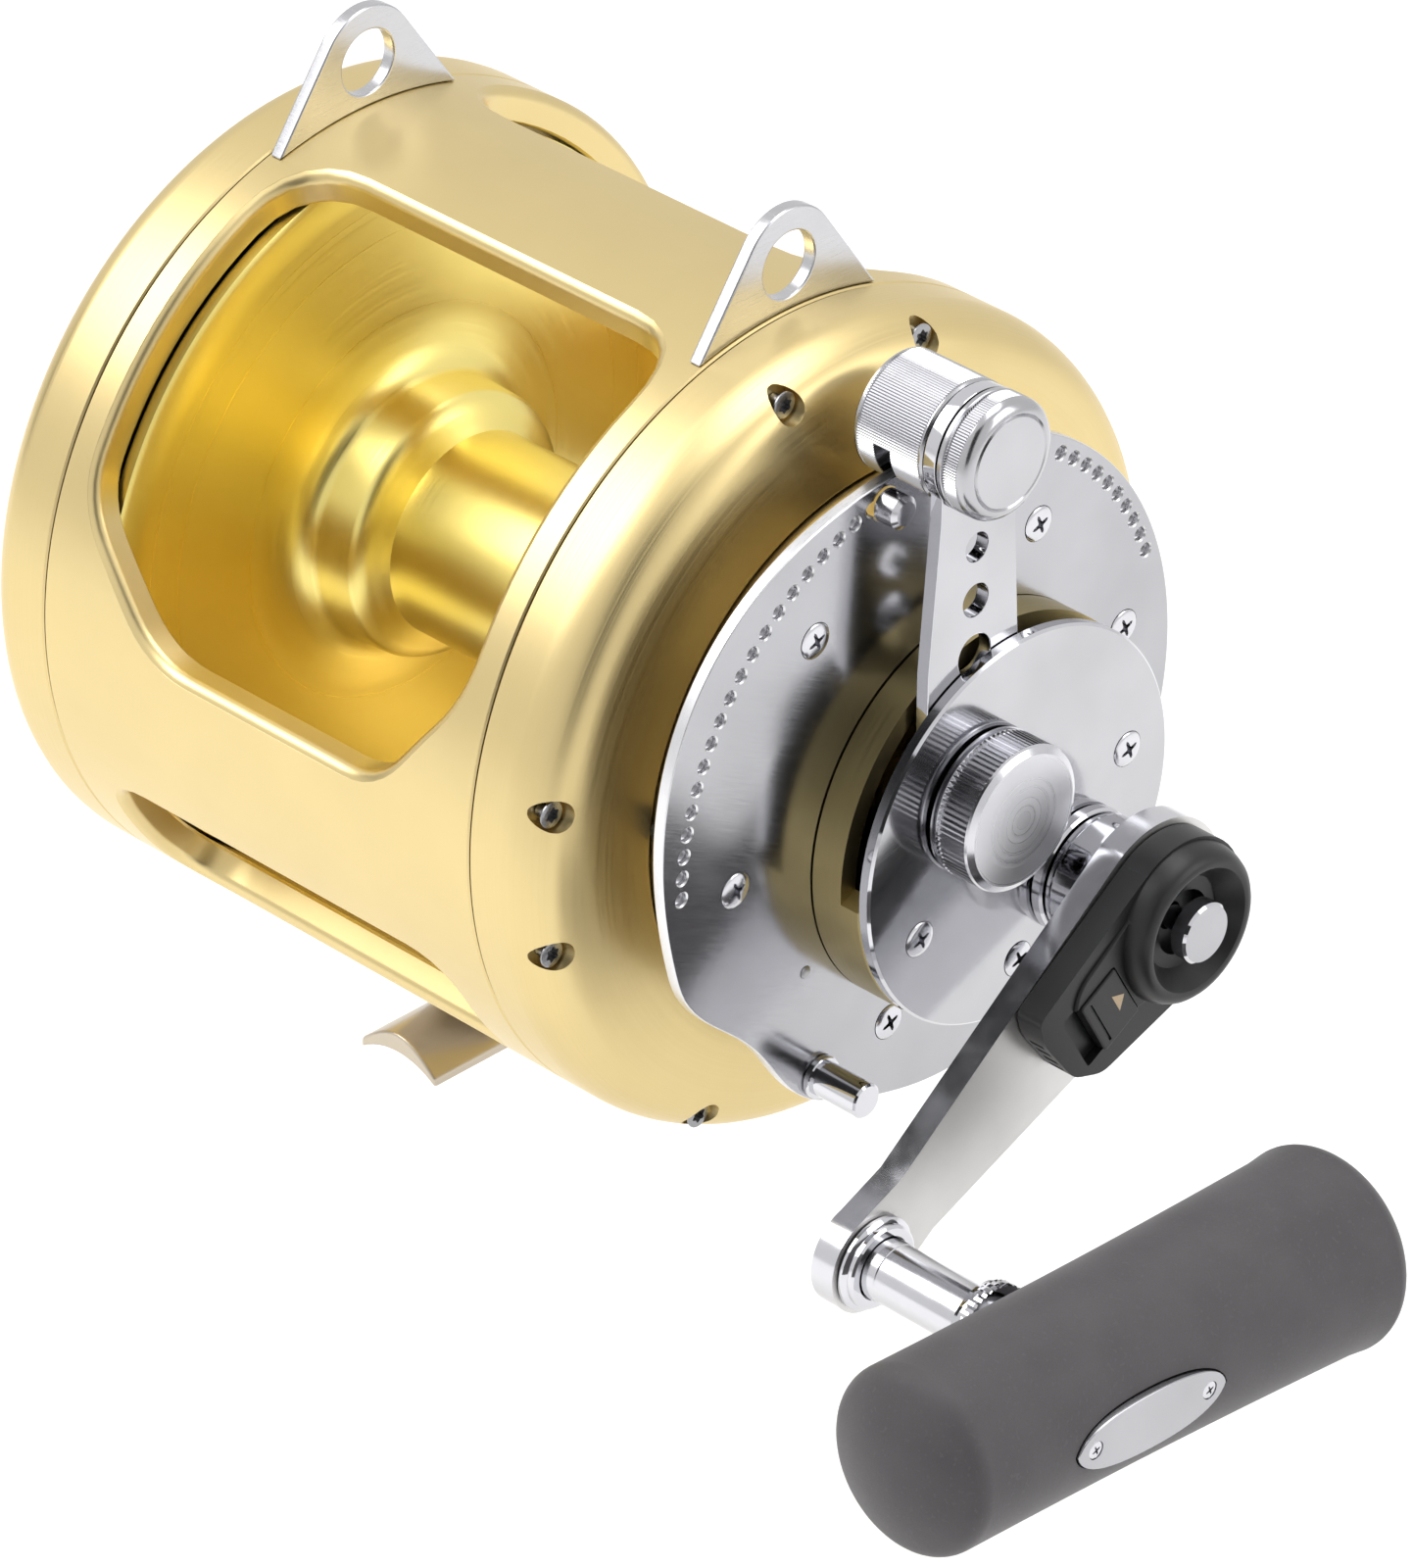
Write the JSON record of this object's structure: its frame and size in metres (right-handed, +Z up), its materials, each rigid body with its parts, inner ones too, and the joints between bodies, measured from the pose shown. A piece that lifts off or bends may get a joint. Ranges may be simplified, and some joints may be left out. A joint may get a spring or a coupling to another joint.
{
  "type": "trolling reel",
  "caption": "Two-speed lever-drag trolling reel: a one-piece frame with windows, a turned spool, side plates, a drag lever on its quadrant, harness lugs, and a crank with a T-bar grip.",
  "frame": {"origin": "middle of the rod seat, on the underside of the foot, below the middle of the spool", "axes": "+X along the spool axis toward the crank, +Y toward the rod tip, +Z up from the rod through the spool axis"},
  "size_m": [0.283, 0.1835, 0.2015],
  "materials": {
    "champagne_gold": "satin gold anodised",
    "spool_gold": "turned and polished gold anodised",
    "olive_gold": "satin olive gold anodised",
    "polished_aluminium": "fine brushed and polished",
    "chrome": "bright plated",
    "arm_satin": "bright edges with a satin broad face",
    "machined_steel": "machined",
    "foot_steel": "dark bronze grey, satin",
    "brass": "machined",
    "carbon_fibre": "woven carbon drag washer",
    "housing_black": "moulded, satin black with a fine grain",
    "grip_rubber": "matt moulded rubber"
  },
  "bodies": {
    "body": {"frame": "champagne_gold", "harness_lug_left": "polished_aluminium", "harness_lug_right": "polished_aluminium", "foot": "foot_steel", "left_side_plate": "champagne_gold", "left_bearing_cap": "champagne_gold", "right_side_plate": "champagne_gold", "gear_plate": "machined_steel", "gearbox_lid": "olive_gold", "quadrant_plate": "polished_aluminium", "quadrant_screw_1": "chrome", "quadrant_screw_2": "chrome", "quadrant_screw_3": "chrome", "quadrant_screw_4": "chrome", "quadrant_screw_5": "chrome", "quadrant_post": "chrome", "gear_case": "olive_gold", "gear_cover": "polished_aluminium", "cover_screw_1": "chrome", "cover_screw_2": "chrome", "cover_screw_3": "chrome", "crank_collar": "chrome", "pinion_bearing": "machined_steel", "crank_bearing_inner": "machined_steel", "crank_bearing_outer": "machined_steel"},
    "crank": {"crank_shaft": "machined_steel", "high_gear": "brass", "ratchet_wheel": "machined_steel", "crank_sleeve": "chrome", "crank_arm": "arm_satin", "speed_housing": "housing_black", "handle_post": "chrome", "post_collar": "chrome", "grip_washer": "chrome"},
    "drive": {"drive_plate": "machined_steel", "pinion_cluster": "machined_steel"},
    "low_speed_gear": {"low_gear": "brass"},
    "pressure": {"spool_shaft": "machined_steel", "cam_follower": "brass", "preset_spring": "machined_steel"},
    "spool": {"spool": "spool_gold", "spool_bearing_left": "machined_steel", "spool_bearing_right": "machined_steel", "drag_washer": "carbon_fibre"},
    "lever": {"lever_arm": "polished_aluminium", "lever_sleeve": "chrome", "lever_cap": "chrome", "drag_cam": "brass"},
    "preset": {"preset_knob": "chrome"},
    "grip": {"grip": "grip_rubber", "grip_badge": "polished_aluminium"},
    "speed_button": {"low_button": "chrome"},
    "speed_tab": {"high_tab": "housing_black"},
    "strike_stop": {"strike_button": "chrome"},
    "click": {"click_button": "chrome"},
    "pawl": {"ratchet_pawl": "machined_steel"}
  },
  "joints": [
    {"name": "crank_turn", "type": "hinge", "parent": "body", "child": "crank", "pos_m": [0.12, 0.02696, 0.06004], "axis": [1, 0, 0], "continuous": true},
    {"name": "drive_spin", "type": "hinge", "parent": "body", "child": "drive", "pos_m": [0.066, 0, 0.087], "axis": [1, 0, 0], "continuous": true},
    {"name": "low_gear_spin", "type": "hinge", "parent": "body", "child": "low_speed_gear", "pos_m": [0.0714, 0.02696, 0.06004], "axis": [1, 0, 0], "continuous": true},
    {"name": "lever_swing", "type": "hinge", "parent": "body", "child": "lever", "pos_m": [0.1055, 0, 0.087], "axis": [1, 0, 0], "range_deg": [-62, 84]},
    {"name": "shaft_draw", "type": "slide", "parent": "body", "child": "pressure", "axis": [1, 0, 0], "range_m": [-0.00032, 0.00026]},
    {"name": "spool_spin", "type": "hinge", "parent": "pressure", "child": "spool", "pos_m": [0, 0, 0.087], "axis": [1, 0, 0], "continuous": true},
    {"name": "preset_turn", "type": "hinge", "parent": "pressure", "child": "preset", "pos_m": [0.1155, 0, 0.087], "axis": [1, 0, 0], "continuous": true},
    {"name": "grip_turn", "type": "hinge", "parent": "crank", "child": "grip", "pos_m": [0.175, -0.04918, 0.01591], "axis": [1, 0, 0], "continuous": true},
    {"name": "low_button_push", "type": "slide", "parent": "crank", "child": "speed_button", "axis": [-1, 0, 0], "range_m": [0, 0.0028], "stiffness_N_per_m": 400},
    {"name": "high_tab_slide", "type": "slide", "parent": "crank", "child": "speed_tab", "axis": [0, -0.8652, -0.5015], "range_m": [0, 0.004], "stiffness_N_per_m": 200},
    {"name": "strike_button_push", "type": "slide", "parent": "body", "child": "strike_stop", "axis": [-1, 0, 0], "range_m": [0, 0.0025], "stiffness_N_per_m": 500},
    {"name": "click_push", "type": "slide", "parent": "body", "child": "click", "axis": [1, 0, 0], "range_m": [0, 0.0028]},
    {"name": "pawl_rock", "type": "hinge", "parent": "body", "child": "pawl", "pos_m": [0.084, 0.0411, 0.07418], "axis": [1, 0, 0], "range_deg": [-10, 2], "stiffness_Nm_per_rad": 0.02}
  ],
  "couplings": [
    {"joint": "drive_spin", "follows": "crank_turn", "ratio": -2.3889},
    {"joint": "spool_spin", "follows": "crank_turn", "ratio": -2.3889},
    {"joint": "low_gear_spin", "follows": "crank_turn", "ratio": 1.8971},
    {"joint": "shaft_draw", "follows": "lever_swing", "m_per_rad": -0.0002046}
  ]
}
